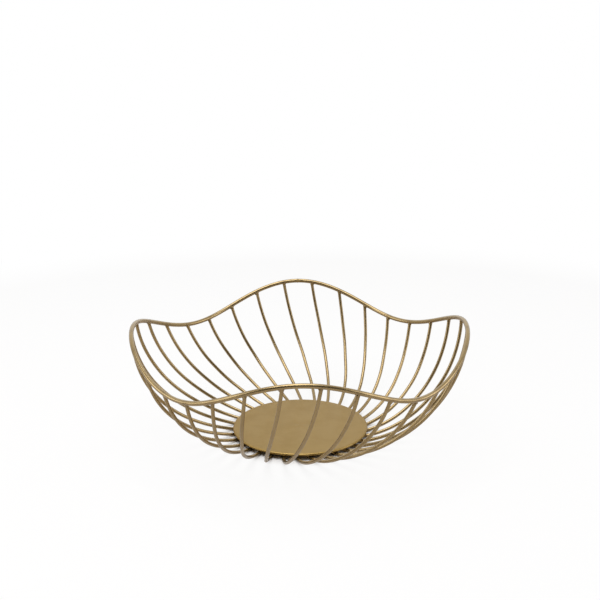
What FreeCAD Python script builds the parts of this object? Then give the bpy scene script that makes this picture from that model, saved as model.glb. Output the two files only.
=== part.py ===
import FreeCAD, Part
import math
import os

os.makedirs("parts", exist_ok=True)

# A wire produce basket, in millimetres.  Thirty-two bent wires (the ribs) make an open bowl.  A heavier
# wire closes the bowl as a wavy rim, and a thin pressed disc sits on the inner ends of the ribs and makes
# the floor.  Every joint is a small weld.  +Z is up, and the origin is on the table, under the centre.

# ---- driving dimensions -------------------------------------------------------------------------------

rim_radius = 146.0             # centreline of the rim wire, where the rim is at its mean height
rim_mean_height = 88.5         # centreline of the rim wire above the table
rim_wave_height = 14.5         # the rim rises and falls by this much about its mean height
rim_wave_count = 4             # crests round the rim: right, back, left and front
rim_wire = 4.0                 # diameter of the rim wire

rib_count = 32
rib_wire = 3.0                 # diameter of a rib's wire
wall_foot_slope = 12.7         # the wall leaves the foot bend at this slope, in degrees
foot_bend_radius = 8.0         # the bend that lays each rib flat on the table
swirl_angle = 20.0             # how far a rib turns clockwise from the rim to its foot, in degrees
swirl_ease = 0.60              # 0 is an even turn, 1 is a turn that starts from nothing at the rim
foot_swirl_angle = 8.0         # the extra turn of the flat foot, in degrees

disc_diameter = 123.0
disc_sheet = 1.0               # thickness of the sheet
disc_underside_height = 5.2    # above the table
disc_lip_drop = 1.0            # how far the edge of the disc is turned down
disc_edge_radius = 1.4         # outer radius of the turned edge

foot_bend_inset = 1.1          # the foot bend ends this far inside the edge of the disc
foot_inset = 10.5              # a rib's inner end lies this far inside the edge of the disc
foot_lip_clearance = 1.0       # a rib starts to rise this far inside the disc's turned edge

rim_seam_gap = 0.4             # the rim wire's two ends stand this far apart before they are welded
rim_seam_bead = 0.25           # the seam's bead stands this far proud of the wire
rim_seam_length = 1.6          # length of that bead
rim_weld_bead = 0.85           # a rib weld stands this far proud of the rib's wire
foot_weld_bead = 0.7           # a foot weld stands this far proud of the rib's wire
foot_weld_gap = 0.15           # weld metal between a rib's end and the underside of the disc
foot_weld_overrun = 0.3        # the bead's centre lies this far past the rib's end

# ---- sizes worked out from them -----------------------------------------------------------------------

rim_wire_radius = rim_wire / 2
rib_wire_radius = rib_wire / 2
disc_radius = disc_diameter / 2
foot_height = rib_wire_radius       # a rib's centreline where it lies flat, and then at its inner end
foot_end_height = disc_underside_height - foot_weld_gap - rib_wire_radius
ribs_per_wave = rib_count // rim_wave_count

# Seen from the side, the wall is one arc.  It leaves the foot bend at the foot's slope, and it passes
# through the rim at its mean height.
foot_radius = disc_radius - foot_bend_inset
foot_bend_angle = math.radians(wall_foot_slope)
foot_bend_length = foot_bend_radius * foot_bend_angle
wall_start_radius = foot_radius + foot_bend_radius * math.sin(foot_bend_angle)
wall_start_height = foot_height + foot_bend_radius * (1 - math.cos(foot_bend_angle))
wall_run = rim_radius - wall_start_radius
wall_rise = rim_mean_height - wall_start_height
wall_bend_radius = (wall_run ** 2 + wall_rise ** 2) / 2 / (
    wall_rise * math.cos(foot_bend_angle) - wall_run * math.sin(foot_bend_angle)
)
wall_centre_radius = wall_start_radius - wall_bend_radius * math.sin(foot_bend_angle)
wall_upright_height = wall_start_height + wall_bend_radius * math.cos(foot_bend_angle)

foot_end_radius = disc_radius - foot_inset
foot_rise_radius = disc_radius - disc_sheet - foot_lip_clearance
foot_reach = foot_radius - foot_end_radius
foot_steps = 5                      # a foot's centreline is drawn through this many equal steps
foot_weld_share = 0.4               # the share of a foot, from its inner end, that shapes its weld


# ---- the bowl's side view -----------------------------------------------------------------------------

def side_view(length):
    """Radius and height of a rib's centreline, at this length from the inner end of its foot bend."""
    if length < foot_bend_length:
        angle = length / foot_bend_radius
        radius = foot_radius + foot_bend_radius * math.sin(angle)
        height = foot_height + foot_bend_radius * (1 - math.cos(angle))
    else:
        angle = foot_bend_angle + (length - foot_bend_length) / wall_bend_radius
        radius = wall_centre_radius + wall_bend_radius * math.sin(angle)
        height = wall_upright_height - wall_bend_radius * math.cos(angle)
    return radius, height


def length_at_height(height):
    """Length along the side view at which the wall reaches this height."""
    angle = math.acos((wall_upright_height - height) / wall_bend_radius)
    return foot_bend_length + (angle - foot_bend_angle) * wall_bend_radius


def rim_height(azimuth):
    return rim_mean_height + rim_wave_height * math.cos(rim_wave_count * azimuth)


def rim_point(azimuth):
    radius, height = side_view(length_at_height(rim_height(azimuth)))
    return FreeCAD.Vector(radius * math.cos(azimuth), radius * math.sin(azimuth), height)


# ---- wires --------------------------------------------------------------------------------------------

def wire_along(points, wire_radius):
    """A round wire whose centreline is a smooth curve through these points."""
    curve = Part.BSplineCurve()
    curve.interpolate(points)
    path = Part.Wire([curve.toShape()])
    start_direction = curve.tangent(curve.FirstParameter)[0]
    section = Part.Wire([Part.makeCircle(wire_radius, points[0], start_direction)])
    return path.makePipeShell([section], True, False)


rim_seam_azimuth = math.pi / 2      # the seam is at the crest at the back
rim_seam_half_gap = rim_seam_gap / 2 / rim_point(rim_seam_azimuth).y
rim_joint_stretch = 2 * (rim_wire + rib_wire) / rim_radius     # in radians, each side of a joint


def rim_between(start, end, steps):
    """The rim wire from one azimuth to another."""
    points = [rim_point(start + (end - start) * step / steps) for step in range(steps + 1)]
    return wire_along(points, rim_wire_radius)


def make_rim():
    """The rim wire goes once round from its seam."""
    start = rim_seam_azimuth + rim_seam_half_gap
    end = rim_seam_azimuth + 2 * math.pi - rim_seam_half_gap
    return rim_between(start, end, 24 * rim_wave_count)


def rim_near(azimuth):
    """The short stretch of the rim that shapes the pieces that meet it at a joint."""
    return rim_between(azimuth - rim_joint_stretch, azimuth + rim_joint_stretch, 8)


def make_rim_seam():
    """The butt weld that closes the rim: it fills the gap and leaves a low collar round the wire."""
    start = rim_point(rim_seam_azimuth) - FreeCAD.Vector(rim_seam_length / 2, 0, 0)
    collar = Part.makeCylinder(
        rim_wire_radius + rim_seam_bead, rim_seam_length, start, FreeCAD.Vector(1, 0, 0)
    )
    left_start = rim_seam_azimuth + rim_seam_half_gap
    right_end = rim_seam_azimuth - rim_seam_half_gap
    return collar.cut([
        rim_between(left_start, left_start + rim_joint_stretch, 4),
        rim_between(right_end - rim_joint_stretch, right_end, 4),
    ])


swirl = math.radians(swirl_angle)
foot_swirl = math.radians(foot_swirl_angle)


def rib_wall_point(azimuth, length):
    """A point of a rib's centreline on the wall, at this length along the side view."""
    share_down = 1 - length / length_at_height(rim_height(azimuth))
    turn = azimuth - swirl * ((1 - swirl_ease) * share_down + swirl_ease * share_down ** 2)
    radius, height = side_view(length)
    return FreeCAD.Vector(radius * math.cos(turn), radius * math.sin(turn), height)


def rib_foot_point(azimuth, share):
    """A point of the flat foot: share is 0 where the foot bend ends, and 1 at the rib's inner end."""
    swirl_per_mm = swirl * (1 + swirl_ease) / length_at_height(rim_height(azimuth))
    turn = azimuth - swirl - swirl_per_mm * foot_reach * share - foot_swirl * share ** 2
    radius = foot_radius - foot_reach * share
    share_up = max(0, foot_rise_radius - radius) / (foot_rise_radius - foot_end_radius)
    rise = share_up ** 2 * (3 - 2 * share_up)
    height = foot_height + (foot_end_height - foot_height) * rise
    return FreeCAD.Vector(radius * math.cos(turn), radius * math.sin(turn), height)


def make_rib(azimuth):
    """A rib runs from the rim's centreline down the wall and in to the end of its foot."""
    top_length = length_at_height(rim_height(azimuth))
    wall_steps = 14
    points = [rib_wall_point(azimuth, top_length * (1 - step / wall_steps)) for step in range(wall_steps)]
    points += [rib_foot_point(azimuth, step / foot_steps) for step in range(foot_steps + 1)]
    return wire_along(points, rib_wire_radius).cut(rim_near(azimuth))


# ---- the floor of the basket --------------------------------------------------------------------------

def make_disc():
    """A flat sheet disc whose edge is turned down through a small radius."""
    top = disc_underside_height + disc_sheet
    bottom = disc_underside_height - disc_lip_drop
    inner_radius = disc_edge_radius - disc_sheet
    bend_centre = disc_radius - disc_edge_radius
    diagonal = math.sqrt(0.5)

    def point(radius, height):
        return FreeCAD.Vector(radius, 0, height)

    outer_bend = Part.Arc(
        point(bend_centre, top),
        point(bend_centre + disc_edge_radius * diagonal, top - disc_edge_radius * (1 - diagonal)),
        point(disc_radius, top - disc_edge_radius),
    )
    inner_bend = Part.Arc(
        point(disc_radius - disc_sheet, top - disc_edge_radius),
        point(bend_centre + inner_radius * diagonal, top - disc_edge_radius + inner_radius * diagonal),
        point(bend_centre, disc_underside_height),
    )
    outline = Part.Wire([
        Part.makeLine(point(0, disc_underside_height), point(0, top)),
        Part.makeLine(point(0, top), point(bend_centre, top)),
        outer_bend.toShape(),
        Part.makeLine(point(disc_radius, top - disc_edge_radius), point(disc_radius, bottom)),
        Part.makeLine(point(disc_radius, bottom), point(disc_radius - disc_sheet, bottom)),
        Part.makeLine(
            point(disc_radius - disc_sheet, bottom),
            point(disc_radius - disc_sheet, top - disc_edge_radius),
        ),
        inner_bend.toShape(),
        Part.makeLine(point(bend_centre, disc_underside_height), point(0, disc_underside_height)),
    ])
    return Part.Face(outline).revolve(FreeCAD.Vector(0, 0, 0), FreeCAD.Vector(0, 0, 1), 360)


# ---- welds --------------------------------------------------------------------------------------------

def make_rim_weld(azimuth):
    """A bead round the top of a rib, where it butts against the underside of the rim."""
    top_length = length_at_height(rim_height(azimuth))
    bead_radius = rib_wire_radius + rim_weld_bead
    steps = 4
    rib_top = [
        rib_wall_point(azimuth, top_length - 2 * (rim_wire + bead_radius) * step / steps)
        for step in range(steps + 1)
    ]
    down_the_rib = (rib_top[1] - rib_top[0]).normalize()
    centre = rib_top[0] + down_the_rib * (rim_wire_radius + rim_weld_bead / 2)
    bead = Part.makeSphere(bead_radius, centre)
    return bead.cut([wire_along(rib_top, rib_wire_radius), rim_near(azimuth)])


def make_foot_weld(azimuth, disc):
    """A bead round the inner end of a rib, against the underside of the disc."""
    steps = 4
    foot_end = [rib_foot_point(azimuth, 1 - foot_weld_share * step / steps) for step in range(steps + 1)]
    outwards = (foot_end[1] - foot_end[0]).normalize()
    bead = Part.makeSphere(rib_wire_radius + foot_weld_bead, foot_end[0] - outwards * foot_weld_overrun)
    return bead.cut([wire_along(foot_end, rib_wire_radius), disc])


# ---- build and save -----------------------------------------------------------------------------------

def turned(shape, angle):
    copy = shape.copy()
    copy.rotate(FreeCAD.Vector(0, 0, 0), FreeCAD.Vector(0, 0, 1), angle)
    return copy


def save(node, shape):
    shape.exportStep("parts/" + node + ".step")
    print(node, "solids", len(shape.Solids), "volume", round(shape.Volume, 1), "valid", shape.isValid())


disc = make_disc()
save("rim_wire", make_rim())
save("base_disc", disc)

# The ribs of one wave are all different, because the rim meets each at its own height.  The other waves
# repeat them.
rim_welds = []
foot_welds = []
for place in range(ribs_per_wave):
    azimuth = 2 * math.pi * (place + 0.5) / rib_count
    rib = make_rib(azimuth)
    rim_weld = make_rim_weld(azimuth)
    foot_weld = make_foot_weld(azimuth, disc)
    for wave in range(rim_wave_count):
        angle = 360 * wave / rim_wave_count
        number = place + 1 + wave * ribs_per_wave
        save("rib_%02d" % number, turned(rib, angle))
        rim_welds.append(turned(rim_weld, angle))
        foot_welds.append(turned(foot_weld, angle))

save("rim_welds", Part.makeCompound(rim_welds))
save("foot_welds", Part.makeCompound(foot_welds))
save("rim_seam_weld", make_rim_seam())
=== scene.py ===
# %% [markdown]
# # A wire produce basket
# The basket is an open bowl of bent steel wires.  Thirty-two thin wires, the ribs, climb from a flat sheet
# disc to a heavier wire that waves up and down round the mouth.  Everything is welded and then painted in
# a satin champagne gold.  This lesson loads the engineered model, gives each wire a smooth skin of its
# own, and then mixes the paint, sets the table and lights the scene.

# %% Load the engineered model
import math
import bpy
import mathutils
import numpy as np
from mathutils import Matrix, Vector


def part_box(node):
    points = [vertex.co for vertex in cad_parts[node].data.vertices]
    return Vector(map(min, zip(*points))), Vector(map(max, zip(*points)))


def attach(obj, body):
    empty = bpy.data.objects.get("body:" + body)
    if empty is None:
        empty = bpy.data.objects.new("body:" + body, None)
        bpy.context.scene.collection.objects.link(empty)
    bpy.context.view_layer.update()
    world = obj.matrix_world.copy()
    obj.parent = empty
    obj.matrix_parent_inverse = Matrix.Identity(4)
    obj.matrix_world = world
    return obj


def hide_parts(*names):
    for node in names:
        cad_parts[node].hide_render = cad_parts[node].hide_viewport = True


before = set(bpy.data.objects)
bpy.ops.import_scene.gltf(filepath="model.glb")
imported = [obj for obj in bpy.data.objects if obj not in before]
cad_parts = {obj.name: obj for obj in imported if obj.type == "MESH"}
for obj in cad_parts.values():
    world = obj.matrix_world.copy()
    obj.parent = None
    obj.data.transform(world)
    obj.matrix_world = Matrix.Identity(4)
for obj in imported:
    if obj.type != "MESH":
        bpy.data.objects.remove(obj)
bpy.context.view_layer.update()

# %% [markdown]
# ## The basket's measurements
# The new skins must lie where the engineered wires lie, so the same few sizes are written down here, in
# metres.  The other sizes of the bowl are worked out from them, or read from the disc's own box.

# %% The sizes that shape the bowl
rim_radius = 0.146
rim_mean_height = 0.0885
rim_wave_height = 0.0145
rim_wave_count = 4
rim_wire_radius = 0.0020

rib_count = 32
rib_wire_radius = 0.0015
foot_bend_radius = 0.008
foot_bend_angle = math.radians(12.7)
swirl = math.radians(20.0)
swirl_ease = 0.60
foot_swirl = math.radians(8.0)

disc_low, disc_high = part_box("base_disc")
disc_radius = disc_high[0]
disc_top = disc_high[2]
disc_sheet = 0.0010
disc_edge_radius = 0.0014
disc_underside = disc_top - disc_sheet
print("disc radius", round(disc_radius, 5), "top at", round(disc_top, 5))

# %% The bowl's side view, worked out from those sizes
foot_bend_inset = 0.0011
foot_inset = 0.0105
foot_lip_clearance = 0.0010
foot_weld_gap = 0.00015

foot_height = rib_wire_radius
foot_radius = disc_radius - foot_bend_inset
foot_end_radius = disc_radius - foot_inset
foot_rise_radius = disc_radius - disc_sheet - foot_lip_clearance
foot_end_height = disc_underside - foot_weld_gap - rib_wire_radius
foot_reach = foot_radius - foot_end_radius
foot_bend_length = foot_bend_radius * foot_bend_angle

wall_start_radius = foot_radius + foot_bend_radius * math.sin(foot_bend_angle)
wall_start_height = foot_height + foot_bend_radius * (1 - math.cos(foot_bend_angle))
wall_run = rim_radius - wall_start_radius
wall_rise = rim_mean_height - wall_start_height
wall_bend_radius = (wall_run ** 2 + wall_rise ** 2) / 2 / (
    wall_rise * math.cos(foot_bend_angle) - wall_run * math.sin(foot_bend_angle)
)
wall_centre_radius = wall_start_radius - wall_bend_radius * math.sin(foot_bend_angle)
wall_upright_height = wall_start_height + wall_bend_radius * math.cos(foot_bend_angle)
print("the wall is one arc of radius", round(wall_bend_radius, 4))


def side_view(length):
    """Radius and height of a rib's centreline, at a length from the inner end of its foot bend.

    Two arcs that touch: first the small foot bend, and then the long arc of the wall.
    """
    foot_angle = length / foot_bend_radius
    wall_angle = foot_bend_angle + (length - foot_bend_length) / wall_bend_radius
    in_foot = length < foot_bend_length
    radius = np.where(
        in_foot,
        foot_radius + foot_bend_radius * np.sin(foot_angle),
        wall_centre_radius + wall_bend_radius * np.sin(wall_angle),
    )
    height = np.where(
        in_foot,
        foot_height + foot_bend_radius * (1 - np.cos(foot_angle)),
        wall_upright_height - wall_bend_radius * np.cos(wall_angle),
    )
    return radius, height


def length_at_height(height):
    """The length at which the wall's arc reaches a height, from the arc's cosine."""
    angle = np.arccos((wall_upright_height - height) / wall_bend_radius)
    return foot_bend_length + (angle - foot_bend_angle) * wall_bend_radius


def around(radius, turn, height):
    """Points from a radius, a turn about the upright axis and a height, as an array of x, y, z rows."""
    return np.stack([radius * np.cos(turn), radius * np.sin(turn), height + 0 * turn], axis=-1)


def rim_path(azimuth):
    """The rim's centreline: four waves round the mouth, each point lying on the wall's arc."""
    height = rim_mean_height + rim_wave_height * np.cos(rim_wave_count * azimuth)
    radius, height = side_view(length_at_height(height))
    return around(radius, azimuth, height)


# %% [markdown]
# ## Skins made of rings
# A wire, a disc and a bead of weld are all the same kind of surface: a row of rings, closed by one point
# at each end.  A wire's rings are small circles carried along its centreline, and a disc's rings are
# circles about the upright axis.  So one function that turns a grid of ring points into a mesh serves
# every piece.  It also stores, on each point, where that point lies on its own wire, so that the paint
# can later follow the wire round every bend.

# %% From rings to a mesh
def ring_faces(ring_count, side_count):
    """The corner numbers of the faces of a row of rings.

    Four-sided faces join neighbouring rings, and three-sided faces join each end ring to its pole.
    """
    ring, side = np.meshgrid(np.arange(ring_count - 1), np.arange(side_count), indexing="ij")
    here = ring * side_count + side
    beside = ring * side_count + (side + 1) % side_count
    quads = np.stack([here, here + side_count, beside + side_count, beside], axis=-1).reshape(-1, 4)
    first = np.arange(side_count)
    second = (first + 1) % side_count
    last_ring = (ring_count - 1) * side_count
    start_pole = ring_count * side_count
    start = np.stack([first, second, start_pole + 0 * first], axis=-1)
    end = np.stack([last_ring + second, last_ring + first, start_pole + 1 + 0 * first], axis=-1)
    return quads, np.concatenate([start, end])


def enclosed_volume(points, quads, triangles):
    """The volume inside a closed skin: the sum of the tetrahedra from the origin to each triangle."""
    corners = np.concatenate([triangles, quads[:, [0, 1, 2]], quads[:, [0, 2, 3]]])
    a, b, c = points[corners[:, 0]], points[corners[:, 1]], points[corners[:, 2]]
    return np.einsum("ij,ij->i", a, np.cross(b, c)).sum() / 6


def ringed_piece(name, skins, node):
    """One object from one or more skins, standing for a node of the engineered model.

    Each skin holds its ring points, its two poles, and the same again for the paint's coordinates and
    for how near each point lies to a weld.
    """
    points, quads, triangles, paint_places, weld_shares = [], [], [], [], []
    start = 0
    for rings, poles, ring_places, pole_places, ring_welds, pole_welds in skins:
        ring_count, side_count = rings.shape[:2]
        skin_points = np.concatenate([rings.reshape(-1, 3), poles])
        skin_quads, skin_triangles = ring_faces(ring_count, side_count)
        if enclosed_volume(skin_points, skin_quads, skin_triangles) < 0:
            skin_quads = skin_quads[:, ::-1]
            skin_triangles = skin_triangles[:, ::-1]
        points.append(skin_points)
        quads.append(skin_quads + start)
        triangles.append(skin_triangles + start)
        paint_places.append(np.concatenate([ring_places.reshape(-1, 3), pole_places]))
        weld_shares.append(np.concatenate([ring_welds.reshape(-1), pole_welds]))
        start += len(skin_points)
    mesh = bpy.data.meshes.new(name)
    points = np.concatenate(points)
    quads = np.concatenate(quads)
    triangles = np.concatenate(triangles)
    mesh.from_pydata(points.tolist(), [], quads.tolist() + triangles.tolist())
    mesh.polygons.foreach_set("use_smooth", np.ones(len(mesh.polygons), dtype=bool))
    place = mesh.attributes.new("paint_place", "FLOAT_VECTOR", "POINT")
    place.data.foreach_set("vector", np.concatenate(paint_places).astype(np.float32).reshape(-1))
    share = mesh.attributes.new("weld_share", "FLOAT", "POINT")
    share.data.foreach_set("value", np.concatenate(weld_shares).astype(np.float32))
    mesh.update()
    piece = bpy.data.objects.new(name, mesh)
    bpy.context.scene.collection.objects.link(piece)
    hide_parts(node)
    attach(piece, "root")
    return piece


# %% [markdown]
# ## Wires
# A drawn wire is round, and it keeps its thickness round every bend.  Its skin is a circle carried along
# the centreline.  At each point the circle stands square to the wire's own direction.  A second
# direction, which is never in line with the wire, fixes how the circle is turned, so the skin never
# twists.  The hand that bent the ribs left them a hair off true, so each of them gets a slow wander of a
# few tenths of a millimetre between its welds.

# %% A circle carried along a path
def evenly_spaced(path, count):
    """The same path through points at equal distances, read off along its running length."""
    steps = np.linalg.norm(np.diff(path, axis=0), axis=1)
    running = np.concatenate([[0], np.cumsum(steps)])
    wanted = np.linspace(0, running[-1], count)
    return np.stack([np.interp(wanted, running, path[:, axis]) for axis in range(3)], axis=-1), wanted


def wire_skin(path, running, wire_radius, side_count, across, weld_share, paint_start):
    """A ring for each path point: centre + radius x (cos t x normal + sin t x binormal).

    The normal is the cross product of the path's direction with the direction across it.  The paint's
    coordinates are the running length, and the same circle laid flat.
    """
    direction = np.gradient(path, axis=0)
    direction /= np.linalg.norm(direction, axis=1, keepdims=True)
    normal = np.cross(direction, across)
    normal /= np.linalg.norm(normal, axis=1, keepdims=True)
    binormal = np.cross(direction, normal)
    turn = np.linspace(0, 2 * np.pi, side_count, endpoint=False)
    radius = wire_radius[:, None, None]
    cos_turn, sin_turn = np.cos(turn)[None, :, None], np.sin(turn)[None, :, None]
    rings = path[:, None] + radius * (cos_turn * normal[:, None] + sin_turn * binormal[:, None])
    places = np.concatenate([
        (paint_start + running)[:, None, None] + 0 * cos_turn,
        radius * cos_turn,
        radius * sin_turn,
    ], axis=2)
    poles = path[[0, -1]]
    pole_places = np.stack([paint_start + running[[0, -1]], [0, 0], [0, 0]], axis=-1)
    ring_welds = np.repeat(weld_share[:, None], side_count, axis=1)
    return rings, poles, places, pole_places, ring_welds, weld_share[[0, -1]]


def slow_wander(share, seed, size):
    """A smooth hand-made unevenness: three slow sine waves that fade to nothing at both ends."""
    random = np.random.default_rng(seed)
    waves = np.zeros_like(share)
    for wave_count in (1.5, 2.7, 4.3):
        phase = random.uniform(0, 2 * np.pi)
        waves += random.uniform(0.4, 1.0) / wave_count * np.sin(2 * np.pi * wave_count * share + phase)
    return size * waves * np.sin(np.pi * share) ** 2


# %% [markdown]
# ## The rim
# The rim is the heaviest wire, four millimetres thick.  It waves up and down four times and is closed by
# a butt weld at the back.

# %% The rim wire
upright = np.array([0.0, 0.0, 1.0])
rim_seam = math.pi / 2
rim_seam_gap = 0.0004
rim_seam_half_gap = rim_seam_gap / 2 / rim_radius
rim_steps = 4000
rim_rings = 900
rim_sides = 32
rim_weld_reach = 0.0032
rim_girth_dip = 0.012
rim_girth_waves = (310, 83)

rib_azimuths = 2 * np.pi * (np.arange(rib_count) + 0.5) / rib_count
rib_spacing = 2 * np.pi / rib_count


def near_weld(distance, reach):
    """A bell curve, e to the power of minus (distance / reach) squared: one at a weld, nothing far off."""
    return np.exp(-(distance / reach) ** 2)


rim_start = rim_seam + rim_seam_half_gap
rim_end = rim_seam + 2 * np.pi - rim_seam_half_gap
rim_azimuths = np.linspace(rim_start, rim_end, rim_steps)
rim_line, rim_running = evenly_spaced(rim_path(rim_azimuths), rim_rings)
rim_turn = np.arctan2(rim_line[:, 1], rim_line[:, 0])
turn_to_rib = (rim_turn / rib_spacing) % 1 - 0.5
rim_weld_share = near_weld(turn_to_rib * rib_spacing * rim_radius, rim_weld_reach)
short_waves, long_waves = (np.sin(rim_running * wave) for wave in rim_girth_waves)
rim_girth = rim_wire_radius * (1 - rim_girth_dip * (1 + short_waves * long_waves) / 2)
rim_piece = ringed_piece(
    "rim",
    [wire_skin(rim_line, rim_running, rim_girth, rim_sides, upright, rim_weld_share, 0.0)],
    "rim_wire",
)
print("rim length in millimetres", round(rim_running[-1] * 1000, 1))

# %% [markdown]
# ## The ribs
# Each rib starts against the underside of the rim, runs down the wall's arc while it turns a little way
# clockwise round the bowl, bends flat onto the table and hooks in under the disc.  The foot keeps turning
# and lifts at its end to meet the underside of the disc.  Where the rib meets the rim, the weld metal has
# run down it, so its top two millimetres or so flare out.

# %% A rib's centreline
wall_steps = 900
foot_steps = 200


def rib_path(azimuth):
    """Down the wall, then in along the foot.  The turn eases in as a mix of the share and its square."""
    top_length = length_at_height(rim_mean_height + rim_wave_height * np.cos(rim_wave_count * azimuth))
    length = np.linspace(top_length, 0, wall_steps)
    share_down = 1 - length / top_length
    radius, height = side_view(length)
    turn = azimuth - swirl * ((1 - swirl_ease) * share_down + swirl_ease * share_down ** 2)
    wall = around(radius, turn, height)

    share = np.linspace(0, 1, foot_steps)[1:]
    radius = foot_radius - foot_reach * share
    turn = azimuth - swirl - swirl * (1 + swirl_ease) / top_length * foot_reach * share
    turn = turn - foot_swirl * share ** 2
    share_up = np.clip((foot_rise_radius - radius) / (foot_rise_radius - foot_end_radius), 0, 1)
    height = foot_height + (foot_end_height - foot_height) * share_up ** 2 * (3 - 2 * share_up)
    return np.concatenate([wall, around(radius, turn, height)])


# %% All thirty-two ribs
rib_rings = 150
rib_sides = 24
rib_wander = 0.0005
rib_flare = 0.14
rib_flare_length = 0.0010
rib_weld_reach = 0.0028
foot_weld_reach = 0.003
cut_end_share = 0.8
paint_shift = 0.37
rib_pieces = []
for number, azimuth in enumerate(rib_azimuths, start=1):
    line, running = evenly_spaced(rib_path(azimuth), rib_rings)
    length = running[-1]
    sideways = np.stack([-line[:, 1], line[:, 0], 0 * line[:, 0]], axis=-1)
    sideways /= np.linalg.norm(sideways, axis=1, keepdims=True)
    line = line + sideways * slow_wander(running / length, number, rib_wander)[:, None]
    below_rim = np.clip(running - rim_wire_radius, 0, None)
    girth = rib_wire_radius * (1 + rib_flare * np.exp(-below_rim / rib_flare_length))
    girth[-1] = rib_wire_radius * cut_end_share
    welded = near_weld(below_rim, rib_weld_reach) + near_weld(length - running, foot_weld_reach)
    welded = np.clip(welded, 0, 1)
    skin = wire_skin(line, running, girth, rib_sides, sideways, welded, paint_shift * number)
    rib_pieces.append(ringed_piece("rib_skin_%02d" % number, [skin], "rib_%02d" % number))
print("ribs", len(rib_pieces), "length of the last in millimetres", round(length * 1000, 1))

# %% [markdown]
# ## The floor disc
# The floor is a plain sheet disc whose edge is turned down.  Seen in section it is a thin line with a
# small bend at its end, and a turn about the upright axis makes the whole disc.  Thin sheet is never
# quite flat, so it dips by up to a tenth of a millimetre here and there.

# %% The disc's section
disc_flat_start = 0.002
disc_flat_steps = 60
disc_bend_steps = 14
lip_round = 0.00025


def disc_section():
    """Radius and height round the section: out along the top, round the bend, down the lip and back.

    Both sides of the bend are quarter circles about one centre: centre + radius x (sine, cosine).
    """
    flat = np.linspace(disc_flat_start, disc_radius - disc_edge_radius, disc_flat_steps)
    outer_turn = np.linspace(0, np.pi / 2, disc_bend_steps)[1:]
    inner_turn = outer_turn[::-1]
    bend_centre = disc_radius - disc_edge_radius
    bend_height = disc_top - disc_edge_radius
    inner_radius = disc_edge_radius - disc_sheet
    lip_bottom = disc_low[2]
    radius = np.concatenate([
        flat,
        bend_centre + disc_edge_radius * np.sin(outer_turn),
        [disc_radius, disc_radius - lip_round, disc_radius - disc_sheet + lip_round],
        [disc_radius - disc_sheet],
        bend_centre + inner_radius * np.sin(inner_turn),
        flat[::-1],
    ])
    height = np.concatenate([
        disc_top + 0 * flat,
        bend_height + disc_edge_radius * np.cos(outer_turn),
        [lip_bottom + lip_round, lip_bottom, lip_bottom],
        [lip_bottom + lip_round],
        bend_height + inner_radius * np.cos(inner_turn),
        disc_underside + 0 * flat,
    ])
    return radius, height


section_radius, section_height = disc_section()
print("points round the section", len(section_radius))

# %% The section turned about the upright axis
disc_sides = 240
disc_level_edge = 0.004
disc_dip = 0.00006
disc_dip_count = 3
disc_dip_swirl = 90
disc_turn = np.linspace(0, 2 * np.pi, disc_sides, endpoint=False)
disc_rings = around(section_radius[:, None], disc_turn[None, :], section_height[:, None])
inside = np.clip(1 - section_radius / (disc_radius - disc_level_edge), 0, 1) ** 0.5
dip_waves = np.sin(disc_dip_count * disc_turn + disc_dip_swirl * section_radius[:, None])
disc_rings[:, :, 2] -= disc_dip * inside[:, None] * (1 + dip_waves)
disc_poles = np.array([[0, 0, disc_top], [0, 0, disc_underside]])
no_weld = np.zeros(disc_rings.shape[:2])
disc_piece = ringed_piece(
    "floor_disc",
    [(disc_rings, disc_poles, disc_rings, disc_poles, no_weld, no_weld[:2, 0])],
    "base_disc",
)
print("disc faces", len(disc_piece.data.polygons))

# %% [markdown]
# ## The welds
# A weld bead is a small frozen drop that has wetted both wires.  It is a ball stretched along the rim,
# with a few slow lumps whose places differ from bead to bead.  All the beads of one kind are one object,
# because they are alike and are never seen apart.

# %% A lumpy bead
bead_rings = 18
bead_sides = 24
lump_count = 5
lump_waves = 2.2
lump_size = 0.035


def unit(vector):
    """The same direction with a length of one."""
    return vector / np.linalg.norm(vector)


def bead_skin(centre, along, down, sizes, seed):
    """A stretched ball: latitude rings about the along direction, swollen by a few random slow waves."""
    random = np.random.default_rng(seed)
    latitude = np.linspace(0, np.pi, bead_rings)[1:-1, None]
    turn = np.linspace(0, 2 * np.pi, bead_sides, endpoint=False)[None, :]
    ball = np.stack([
        np.cos(latitude) + 0 * turn,
        np.sin(latitude) * np.cos(turn),
        np.sin(latitude) * np.sin(turn),
    ], axis=-1)
    poles = np.array([[1.0, 0, 0], [-1.0, 0, 0]])

    waves = random.normal(0, lump_waves, (lump_count, 3))
    phases = random.uniform(0, 2 * np.pi, lump_count)

    def lumps(places):
        return 1 + lump_size * np.sin(places @ waves.T + phases).sum(axis=-1)

    square = unit(np.cross(along, down))
    axes = np.array([along * sizes[0], down * sizes[1], square * sizes[2]])
    rings = centre + (ball * lumps(ball)[..., None]) @ axes
    pole_points = centre + (poles * lumps(poles)[..., None]) @ axes
    ones = np.ones(rings.shape[:2])
    return rings, pole_points, rings, pole_points, ones, ones[:2, 0]


# %% Beads where the ribs meet the rim, and where they meet the disc
# Each pair holds the smallest and the largest value, and the sizes are half sizes.
rim_bead_sink = (0.0001, 0.0004)
rim_bead_shift = (-0.0004, 0.0004)
rim_bead_length = (0.0018, 0.0024)
rim_bead_drop = (0.0012, 0.0016)
rim_bead_width = (0.0016, 0.0018)
foot_bead_length = (0.0022, 0.0027)
foot_bead_drop = 0.0017
foot_bead_width = (0.0019, 0.0022)
foot_bead_overrun = 0.0003
steps_down_rib = 30
steps_back_foot = 12
turn_beside = 0.01
placing_seed, rim_bead_seed, foot_bead_seed = 400, 100, 200

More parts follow.
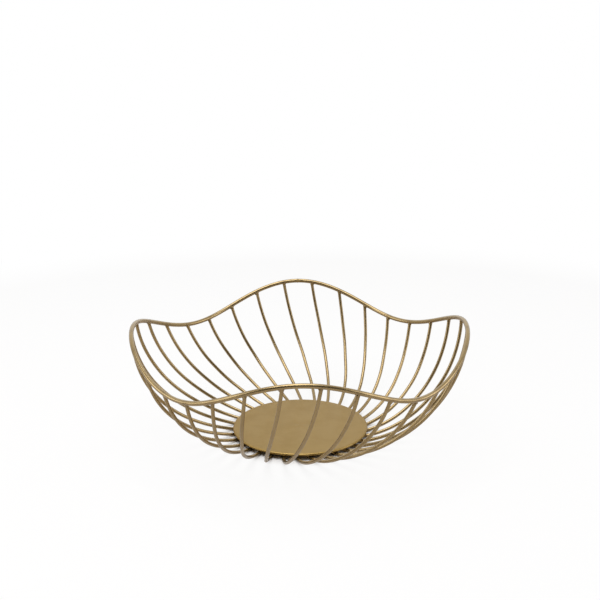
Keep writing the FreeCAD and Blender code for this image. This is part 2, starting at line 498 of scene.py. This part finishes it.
rim_beads, foot_beads = [], []
for number, azimuth in enumerate(rib_azimuths, start=1):
    random = np.random.default_rng(placing_seed + number)
    path = rib_path(azimuth)
    down = unit(path[steps_down_rib] - path[0])
    before, after = rim_path(np.array([azimuth - turn_beside, azimuth + turn_beside]))
    along = unit(after - before)
    centre = path[0] + down * (rim_wire_radius + random.uniform(*rim_bead_sink))
    centre = centre + along * random.uniform(*rim_bead_shift)
    sizes = (
        random.uniform(*rim_bead_length),
        random.uniform(*rim_bead_drop),
        random.uniform(*rim_bead_width),
    )
    rim_beads.append(bead_skin(centre, along, down, sizes, rim_bead_seed + number))

    inward = unit(path[-1] - path[-steps_back_foot])
    end = path[-1] + inward * foot_bead_overrun
    sizes = (random.uniform(*foot_bead_length), foot_bead_drop, random.uniform(*foot_bead_width))
    foot_beads.append(bead_skin(end, inward, upright, sizes, foot_bead_seed + number))
rim_bead_piece = ringed_piece("rim_beads", rim_beads, "rim_welds")
foot_bead_piece = ringed_piece("foot_beads", foot_beads, "foot_welds")
print("beads", len(rim_beads), "and", len(foot_beads))

# %% The seam that closes the rim
seam_half_angle = 0.0058
seam_rings = 25
seam_edge_girth = 0.90
seam_crown = 0.19
seam_smoke = 0.3
seam_paint_start = 9.0
seam_share = np.linspace(-1, 1, seam_rings)
seam_azimuths = rim_seam + np.linspace(-seam_half_angle, seam_half_angle, seam_rings)
seam_line = rim_path(seam_azimuths)
seam_running = (seam_azimuths - seam_azimuths[0]) * rim_radius
seam_girth = rim_wire_radius * (seam_edge_girth + seam_crown * np.sqrt(np.clip(1 - seam_share ** 2, 0, 1)))
seam_welded = seam_smoke * np.ones(seam_rings)
seam_skin = wire_skin(
    seam_line, seam_running, seam_girth, rim_sides, upright, seam_welded, seam_paint_start
)
seam_piece = ringed_piece("rim_seam", [seam_skin], "rim_seam_weld")
print("seam girth in millimetres", round(seam_girth.max() * 2000, 2))

# %% [markdown]
# ## The paint, from shared effects
# All three finishes are one satin champagne-gold paint over steel: fine metal flakes in a clear binder.
# What changes from wire to sheet to weld is how the paint lies on it.  So each effect is a small group
# of shader nodes with named inputs and outputs, built once, and each finish places it with its own
# values.  A group gives out only masks and heights, and the finish turns them into colour and relief.

# %% Helpers that build a node group
def new_group(name, inputs, outputs):
    """An empty shader group with typed sockets, and its input and output nodes."""
    group = bpy.data.node_groups.new(name, "ShaderNodeTree")
    for socket_name, socket_type, value in inputs:
        socket = group.interface.new_socket(socket_name, in_out="INPUT", socket_type=socket_type)
        if value is not None:
            socket.default_value = value
    for socket_name, socket_type in outputs:
        group.interface.new_socket(socket_name, in_out="OUTPUT", socket_type=socket_type)
    return group, group.nodes.new("NodeGroupInput"), group.nodes.new("NodeGroupOutput")


def join(tree, source, target):
    """A link from an output socket to an input socket."""
    tree.links.new(source, target)


def noise(tree, vector, scale, detail, roughness=0.55):
    """A noise texture on a vector socket.  The scale may be a number or a socket."""
    node = tree.nodes.new("ShaderNodeTexNoise")
    join(tree, vector, node.inputs["Vector"])
    if isinstance(scale, (int, float)):
        node.inputs["Scale"].default_value = scale
    else:
        join(tree, scale, node.inputs["Scale"])
    node.inputs["Detail"].default_value = detail
    node.inputs["Roughness"].default_value = roughness
    return node.outputs["Fac"]


def remap(tree, value, from_low, from_high, to_low=0.0, to_high=1.0):
    """A smooth ramp from one range of values to another, held at its ends."""
    node = tree.nodes.new("ShaderNodeMapRange")
    node.interpolation_type = "SMOOTHSTEP"
    join(tree, value, node.inputs["Value"])
    for socket, number in (("From Min", from_low), ("From Max", from_high)):
        if isinstance(number, (int, float)):
            node.inputs[socket].default_value = number
        else:
            join(tree, number, node.inputs[socket])
    node.inputs["To Min"].default_value = to_low
    node.inputs["To Max"].default_value = to_high
    return node.outputs["Result"]


def combine(tree, operation, first, second):
    """One arithmetic node, with each side a socket or a number."""
    node = tree.nodes.new("ShaderNodeMath")
    node.operation = operation
    for socket, value in zip(node.inputs, (first, second)):
        if isinstance(value, (int, float)):
            socket.default_value = value
        else:
            join(tree, value, socket)
    return node.outputs["Value"]


def blend_colour(tree, share, first, second):
    """A mix of two colours, each a socket or a fixed colour, by a share between nothing and one."""
    node = tree.nodes.new("ShaderNodeMix")
    node.data_type = "RGBA"
    node.clamp_factor = True
    join(tree, share, node.inputs[0])
    for socket, colour in ((node.inputs[6], first), (node.inputs[7], second)):
        if isinstance(colour, tuple):
            socket.default_value = (*colour, 1.0)
        else:
            join(tree, colour, socket)
    return node.outputs[2]


def stretch(tree, vector, scales):
    """The same vector with each of its axes multiplied by its own number."""
    node = tree.nodes.new("ShaderNodeMapping")
    join(tree, vector, node.inputs["Vector"])
    node.inputs["Scale"].default_value = scales
    return node.outputs["Vector"]


# %% [markdown]
# The first effect is clouding.  Sprayed flake paint is never one colour: where the flakes lie flat it is
# paler, and where they stand up it is browner.  The clouds have two sizes, one of a few centimetres and
# one of a few millimetres.

# %% Effect: flake clouds
group, inputs, outputs = new_group(
    "flake_clouds",
    [("Vector", "NodeSocketVector", None), ("Large Scale", "NodeSocketFloat", 40.0),
     ("Small Scale", "NodeSocketFloat", 400.0)],
    [("Clouds", "NodeSocketFloat"), ("Grain", "NodeSocketFloat")],
)
large_share = 0.75
large = noise(group, inputs.outputs["Vector"], inputs.outputs["Large Scale"], 3.0)
small = noise(group, inputs.outputs["Vector"], inputs.outputs["Small Scale"], 4.0, 0.65)
clouds = combine(
    group, "ADD",
    combine(group, "MULTIPLY", large, large_share),
    combine(group, "MULTIPLY", small, 1 - large_share),
)
join(group, remap(group, clouds, 0.30, 0.70), outputs.inputs["Clouds"])
join(group, small, outputs.inputs["Grain"])
flake_clouds = group
print("built", group.name)

# %% [markdown]
# The second effect is drawing lines.  The wire was pulled through a die, which left fine lines along it.
# They show through the paint as faint streaks.  The paint's coordinates run along the wire, so a noise
# that is squeezed across the wire and pulled out along it gives streaks that follow every bend.

# %% Effect: drawing lines
group, inputs, outputs = new_group(
    "drawing_lines",
    [("Vector", "NodeSocketVector", None)],
    [("Lines", "NodeSocketFloat")],
)
waves_along, waves_across = 45.0, 1500.0
pulled_out = stretch(group, inputs.outputs["Vector"], (waves_along, waves_across, waves_across))
lines = noise(group, pulled_out, 1.0, 3.0, 0.6)
join(group, remap(group, lines, 0.35, 0.68), outputs.inputs["Lines"])
drawing_lines = group
print("built", group.name)

# %% [markdown]
# The third effect is specks: tiny chips where the dark undercoat shows.  Each cell of a cell pattern has
# one speck in its middle, and a random number for each cell leaves most of them out.  A fine noise
# shifts the pattern first, so that the specks have ragged edges.

# %% Effect: specks and chips
group, inputs, outputs = new_group(
    "paint_specks",
    [("Vector", "NodeSocketVector", None), ("Cells", "NodeSocketFloat", 300.0),
     ("Kept Share", "NodeSocketFloat", 0.1), ("Size", "NodeSocketFloat", 0.2)],
    [("Specks", "NodeSocketFloat")],
)
ragged_scale = 900.0
ragged_reach = 0.0009
cells = group.nodes.new("ShaderNodeTexVoronoi")
wobble = group.nodes.new("ShaderNodeVectorMath")
wobble.operation = "ADD"
ragged = group.nodes.new("ShaderNodeTexNoise")
ragged.inputs["Scale"].default_value = ragged_scale
shift = group.nodes.new("ShaderNodeVectorMath")
shift.operation = "MULTIPLY"
shift.inputs[1].default_value = (ragged_reach, ragged_reach, ragged_reach)
join(group, inputs.outputs["Vector"], ragged.inputs["Vector"])
join(group, ragged.outputs["Color"], shift.inputs[0])
join(group, inputs.outputs["Vector"], wobble.inputs[0])
join(group, shift.outputs["Vector"], wobble.inputs[1])
join(group, wobble.outputs["Vector"], cells.inputs["Vector"])
join(group, inputs.outputs["Cells"], cells.inputs["Scale"])
lot = group.nodes.new("ShaderNodeSeparateColor")
join(group, cells.outputs["Color"], lot.inputs["Color"])
kept = combine(group, "LESS_THAN", lot.outputs["Red"], inputs.outputs["Kept Share"])
speck_size = combine(group, "MULTIPLY", inputs.outputs["Size"], lot.outputs["Green"])
edge = combine(group, "SUBTRACT", speck_size, cells.outputs["Distance"])
join(group, combine(group, "MULTIPLY", kept, remap(group, edge, 0.0, 0.05)), outputs.inputs["Specks"])
paint_specks = group
print("built", group.name)

# %% [markdown]
# Now the finishes themselves.  The metal-flake paint is mostly a metal to light: it mirrors the room
# softly in its own gold.  A thin clear coat sits over the flakes.  Each finish mixes a pale gold and a
# brown gold by the clouds, darkens the mix where weld smoke has settled, and shows the dark undercoat at
# the chips.

# %% The colours, the coat and the small depths that every finish shares
wire_pale, wire_brown = (0.450, 0.325, 0.140), (0.355, 0.243, 0.085)
sheet_pale, sheet_brown = (0.412, 0.276, 0.084), (0.378, 0.250, 0.073)
smoke_brown = (0.20, 0.130, 0.048)
undercoat = (0.045, 0.030, 0.018)
coat_index = 1.75
coat_roughness = 0.17
line_share = 0.30
line_height = 0.0000025
chip_depth = 0.00006
chip_roughness = 0.3
print("pale gold on wire and on sheet:", wire_pale, sheet_pale)

# %% A finish from the shared effects
def placed(tree, group, values, vector):
    """A group node with its fixed inputs set."""
    node = tree.nodes.new("ShaderNodeGroup")
    node.node_tree = group
    join(tree, vector, node.inputs["Vector"])
    for socket, value in values.items():
        node.inputs[socket].default_value = value
    return node


def attribute(tree, name):
    """A node that reads one of the attributes stored on the mesh's points."""
    node = tree.nodes.new("ShaderNodeAttribute")
    node.attribute_name = name
    return node


def gold_paint(name, colours, metallic, roughness, coat, cloud_values, chip_values, grain_height, along_wire):
    """One finish: clouds choose the colour, welds and chips darken it, and fine heights roughen it."""
    material = bpy.data.materials.new(name)
    material.use_nodes = True
    tree = material.node_tree
    shader = tree.nodes["Principled BSDF"]
    where = attribute(tree, "paint_place").outputs["Vector"]
    weld = attribute(tree, "weld_share").outputs["Fac"]
    pale_gold, brown_gold = colours

    clouds = placed(tree, flake_clouds, cloud_values, where)
    chips = placed(tree, paint_specks, chip_values, where).outputs["Specks"]
    colour = blend_colour(tree, clouds.outputs["Clouds"], brown_gold, pale_gold)
    height = combine(tree, "MULTIPLY", clouds.outputs["Grain"], grain_height)
    if along_wire:
        lines = placed(tree, drawing_lines, {}, where).outputs["Lines"]
        colour = blend_colour(tree, combine(tree, "MULTIPLY", lines, line_share), colour, brown_gold)
        height = combine(tree, "ADD", height, combine(tree, "MULTIPLY", lines, line_height))
    smoke = combine(tree, "MULTIPLY", weld, remap(tree, clouds.outputs["Grain"], 0.35, 0.62, 0.10, 0.50))
    colour = blend_colour(tree, smoke, colour, smoke_brown)
    colour = blend_colour(tree, chips, colour, undercoat)
    join(tree, colour, shader.inputs["Base Color"])

    flake = combine(tree, "MULTIPLY", combine(tree, "SUBTRACT", 1.0, chips), metallic)
    join(tree, flake, shader.inputs["Metallic"])
    satin = combine(tree, "ADD", remap(tree, clouds.outputs["Clouds"], 0.0, 1.0, 0.04, -0.03), roughness)
    rough = combine(tree, "ADD", satin, combine(tree, "MULTIPLY", chips, chip_roughness))
    join(tree, rough, shader.inputs["Roughness"])
    shader.inputs["Coat Weight"].default_value = coat
    shader.inputs["Coat IOR"].default_value = coat_index
    shader.inputs["Coat Roughness"].default_value = coat_roughness

    bump = tree.nodes.new("ShaderNodeBump")
    bump.inputs["Strength"].default_value = 1.0
    bump.inputs["Distance"].default_value = 1.0
    sunk = combine(tree, "SUBTRACT", height, combine(tree, "MULTIPLY", chips, chip_depth))
    join(tree, sunk, bump.inputs["Height"])
    join(tree, bump.outputs["Normal"], shader.inputs["Normal"])
    return material


# %% The three finishes, put on the pieces
wire_gold = gold_paint(
    "champagne_gold_on_wire",
    colours=(wire_pale, wire_brown),
    metallic=0.86,
    roughness=0.22,
    coat=0.65,
    cloud_values={"Large Scale": 38.0, "Small Scale": 420.0},
    chip_values={"Cells": 260.0, "Kept Share": 0.04, "Size": 0.16},
    grain_height=0.0000015,
    along_wire=True,
)
sheet_gold = gold_paint(
    "champagne_gold_on_sheet",
    colours=(sheet_pale, sheet_brown),
    metallic=0.90,
    roughness=0.40,
    coat=0.15,
    cloud_values={"Large Scale": 55.0, "Small Scale": 700.0},
    chip_values={"Cells": 420.0, "Kept Share": 0.05, "Size": 0.12},
    grain_height=0.000006,
    along_wire=False,
)
weld_gold = gold_paint(
    "champagne_gold_on_welds",
    colours=(wire_pale, wire_brown),
    metallic=0.86,
    roughness=0.34,
    coat=0.55,
    cloud_values={"Large Scale": 220.0, "Small Scale": 1300.0},
    chip_values={"Cells": 500.0, "Kept Share": 0.22, "Size": 0.25},
    grain_height=0.00006,
    along_wire=False,
)
for piece in [rim_piece] + rib_pieces:
    piece.data.materials.append(wire_gold)
disc_piece.data.materials.append(sheet_gold)
for piece in (rim_bead_piece, foot_bead_piece, seam_piece):
    piece.data.materials.append(weld_gold)
print("finishes:", [material.name for material in (wire_gold, sheet_gold, weld_gold)])

# %% [markdown]
# ## The table and the light
# The basket stands on a plain pale table that runs on to the horizon.  Satin metal shows what stands
# round it, so the light matters as much as the paint: a large soft light overhead draws the cream lines
# along the tops of the wires, a softer one stands at each side, and the room behind the camera is dim, so
# that the wires keep their dark edges.  The table looks brighter than the light that bounces off it, as
# if it were lit through from below.  Only under the disc, and a little way round it, does it keep more of
# its own shading.

# %% The table
table_half = 30.0
table_mesh = bpy.data.meshes.new("table")
table_mesh.from_pydata(
    [(-table_half, -table_half, 0), (table_half, -table_half, 0),
     (table_half, table_half, 0), (-table_half, table_half, 0)],
    [], [(0, 1, 2, 3)],
)
table = bpy.data.objects.new("table", table_mesh)
bpy.context.scene.collection.objects.link(table)

print("table", 2 * table_half, "metres across")

# %% The table's white
# Seen directly, the table is a mix of paper and glow.  The share of glow is the larger of two ramps of
# the distance from the middle: a wide one out in the open, and a steep one at the edge of the disc.
paper_white = (0.95, 0.95, 0.95, 1)
bounced_white = (0.60, 0.57, 0.55, 1)
open_from, open_to = 0.20, 0.80
edge_from, edge_to = disc_radius - 0.002, disc_radius + 0.013
edge_glow = 0.82

table_white = bpy.data.materials.new("table_white")
table_white.use_nodes = True
tree = table_white.node_tree
tree.nodes.remove(tree.nodes["Principled BSDF"])
path_kind = tree.nodes.new("ShaderNodeLightPath")
paper = tree.nodes.new("ShaderNodeBsdfDiffuse")
paper.inputs["Color"].default_value = paper_white
glow = tree.nodes.new("ShaderNodeEmission")
spot = tree.nodes.new("ShaderNodeTexCoord")
reach = tree.nodes.new("ShaderNodeVectorMath")
reach.operation = "LENGTH"
join(tree, spot.outputs["Object"], reach.inputs[0])
lit_up = combine(
    tree, "MAXIMUM",
    remap(tree, reach.outputs["Value"], open_from, open_to),
    remap(tree, reach.outputs["Value"], edge_from, edge_to, 0.0, edge_glow),
)
seen = tree.nodes.new("ShaderNodeMixShader")
join(tree, lit_up, seen.inputs[0])
join(tree, paper.outputs["BSDF"], seen.inputs[1])
join(tree, glow.outputs["Emission"], seen.inputs[2])
bounced = tree.nodes.new("ShaderNodeBsdfDiffuse")
bounced.inputs["Color"].default_value = bounced_white
either = tree.nodes.new("ShaderNodeMixShader")
join(tree, path_kind.outputs["Is Camera Ray"], either.inputs[0])
join(tree, bounced.outputs["BSDF"], either.inputs[1])
join(tree, seen.outputs["Shader"], either.inputs[2])
join(tree, either.outputs["Shader"], tree.nodes["Material Output"].inputs["Surface"])
table_mesh.materials.append(table_white)
print("glow at the edge of the disc", edge_glow)

# %% The soft lights
def soft_light(name, place, aim, size, radiance, tint):
    """A square light that faces its aim.  Its power is radiance x area x pi."""
    data = bpy.data.lights.new(name, "AREA")
    data.shape = "RECTANGLE"
    data.size, data.size_y = size
    data.energy = radiance * size[0] * size[1] * math.pi
    data.color = tint
    light = bpy.data.objects.new(name, data)
    light.location = place
    facing = mathutils.Vector(aim) - mathutils.Vector(place)
    light.rotation_euler = facing.to_track_quat("-Z", "Y").to_euler()
    light.visible_camera = False
    bpy.context.scene.collection.objects.link(light)


bowl_middle = (0, 0, 0.05)
soft_light("overhead", (-0.15, -0.20, 1.50), bowl_middle, (1.2, 1.2), 2.9, (1.0, 0.985, 0.985))
soft_light("left", (-1.45, -0.35, 0.60), bowl_middle, (1.0, 1.1), 1.7, (1.0, 0.985, 0.97))
soft_light("right", (1.45, -0.35, 0.60), bowl_middle, (1.0, 1.1), 1.7, (1.0, 0.965, 0.955))

# %% The room: white to the eye, dim in front of the basket and brighter behind it
dim_toward, bright_toward = -0.6, 0.8
dim_strength, bright_strength = 0.08, 0.85
world = bpy.data.worlds.new("room")
bpy.context.scene.world = world
world.use_nodes = True
tree = world.node_tree
background = tree.nodes["Background"]
to_the_eye = tree.nodes.new("ShaderNodeBackground")
to_the_eye.inputs["Color"].default_value = (1, 1, 1, 1)
direction = tree.nodes.new("ShaderNodeTexCoord")
parts = tree.nodes.new("ShaderNodeSeparateXYZ")
join(tree, direction.outputs["Generated"], parts.inputs["Vector"])
strength = remap(tree, parts.outputs["Y"], dim_toward, bright_toward, dim_strength, bright_strength)
join(tree, strength, background.inputs["Strength"])
background.inputs["Color"].default_value = (1.0, 0.985, 0.97, 1)
path_kind = tree.nodes.new("ShaderNodeLightPath")
either = tree.nodes.new("ShaderNodeMixShader")
join(tree, path_kind.outputs["Is Camera Ray"], either.inputs[0])
join(tree, background.outputs["Background"], either.inputs[1])
join(tree, to_the_eye.outputs["Background"], either.inputs[2])
join(tree, either.outputs["Shader"], tree.nodes["World Output"].inputs["Surface"])
bpy.context.scene.view_settings.view_transform = "Standard"
bpy.context.scene.view_settings.look = "None"
print("room strength from", dim_strength, "to", bright_strength)

# %% [markdown]
# ## The camera
# The camera looks a little down on the basket, from a little over arm's length, through a moderately long
# lens.  Its place follows from the point that it looks at, its height angle and its distance.

# %% The camera
view_height_angle = 0.2870
view_side_angle = -0.0104
view_roll = -0.0085
view_distance = 0.830
view_aim = mathutils.Vector((0.00068, 0.0, 0.1256))
lens_data = bpy.data.cameras.new("camera")
lens_data.sensor_width = 36.0
lens_data.lens = 56.46
camera = bpy.data.objects.new("camera", lens_data)
turned = mathutils.Matrix.Rotation(view_side_angle, 3, "Z")
forward = turned @ mathutils.Vector((0, math.cos(view_height_angle), -math.sin(view_height_angle)))
right = turned @ mathutils.Vector((1, 0, 0))
up = right.cross(forward)
level = mathutils.Matrix((right, up, -forward)).transposed()
camera.matrix_world = mathutils.Matrix.Translation(turned @ view_aim - forward * view_distance) @ (
    level @ mathutils.Matrix.Rotation(view_roll, 3, "Z")
).to_4x4()
bpy.context.scene.collection.objects.link(camera)
bpy.context.scene.camera = camera
print("camera at", [round(value, 4) for value in camera.matrix_world.translation])
